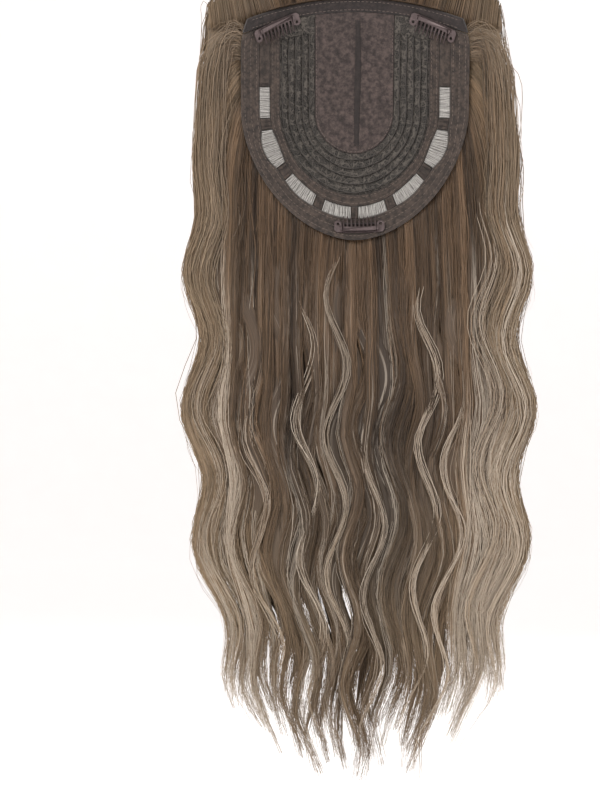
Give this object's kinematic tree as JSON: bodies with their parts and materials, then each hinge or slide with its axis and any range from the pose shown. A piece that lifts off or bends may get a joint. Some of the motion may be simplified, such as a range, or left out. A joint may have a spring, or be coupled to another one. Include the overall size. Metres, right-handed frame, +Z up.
{
  "type": "hair topper",
  "caption": "Clip-in hair topper with a domed lace base, snap comb clips and long wavy hair, held up by its front edge.",
  "frame": {"origin": "middle of the front edge's top, where the topper is held up", "axes": "+Z up from the hair's tips to the front edge, +X to the right seen from the inside of the base, +Y from the inside of the base to the hair on its outside"},
  "size_m": [0.2243, 0.055, 0.5398],
  "materials": {
    "binding_cloth": "matt mauve-brown folded cloth with stitch lines",
    "lace": "dark stretch lace with raised thread",
    "panel": "matt brown-mauve fine cloth",
    "stretch_mesh": "pale gathered elastic mesh",
    "clip_steel": "satin grey-brown painted spring steel",
    "grip_rubber": "dark matt rubber",
    "rim_hair": "ash-brown wavy hair with pale highlights",
    "crown_hair": "ash-brown wavy hair with pale highlights"
  },
  "bodies": {
    "base": {"front_binding": "binding_cloth", "rim_binding": "binding_cloth", "inner_binding": "binding_cloth", "bridge_1": "binding_cloth", "bridge_2": "binding_cloth", "bridge_3": "binding_cloth", "bridge_4": "binding_cloth", "bridge_5": "binding_cloth", "bridge_6": "binding_cloth", "bridge_7": "binding_cloth", "bridge_8": "binding_cloth", "bridge_9": "binding_cloth", "stretch_mesh_1": "stretch_mesh", "stretch_mesh_2": "stretch_mesh", "stretch_mesh_3": "stretch_mesh", "stretch_mesh_4": "stretch_mesh", "stretch_mesh_5": "stretch_mesh", "stretch_mesh_6": "stretch_mesh", "stretch_mesh_7": "stretch_mesh", "stretch_mesh_8": "stretch_mesh", "lace_net": "lace", "weft_track_1": "lace", "weft_track_2": "lace", "weft_track_3": "lace", "weft_track_4": "lace", "weft_track_5": "lace", "top_panel": "panel", "panel_seam": "lace", "clip_back_plate": "clip_steel", "clip_back_grip": "grip_rubber", "clip_left_plate": "clip_steel", "clip_left_grip": "grip_rubber", "clip_right_plate": "clip_steel", "clip_right_grip": "grip_rubber", "rim_hair": "rim_hair", "crown_hair": "crown_hair"},
    "back_comb": {"clip_back_comb": "clip_steel"},
    "left_comb": {"clip_left_comb": "clip_steel"},
    "right_comb": {"clip_right_comb": "clip_steel"}
  },
  "joints": [
    {"name": "back_comb_hinge", "type": "hinge", "parent": "base", "child": "back_comb", "pos_m": [0.00288, 0.00258, -0.14584], "axis": [0.9996, -0.0237, 0.0122], "range_deg": [0, 45]},
    {"name": "left_comb_hinge", "type": "hinge", "parent": "base", "child": "left_comb", "pos_m": [-0.04922, -0.00542, -0.01761], "axis": [-0.8684, -0.2431, -0.4322], "range_deg": [0, 45]},
    {"name": "right_comb_hinge", "type": "hinge", "parent": "base", "child": "right_comb", "pos_m": [0.04922, -0.00542, -0.01761], "axis": [-0.8684, 0.2431, 0.4322], "range_deg": [0, 45]}
  ]
}
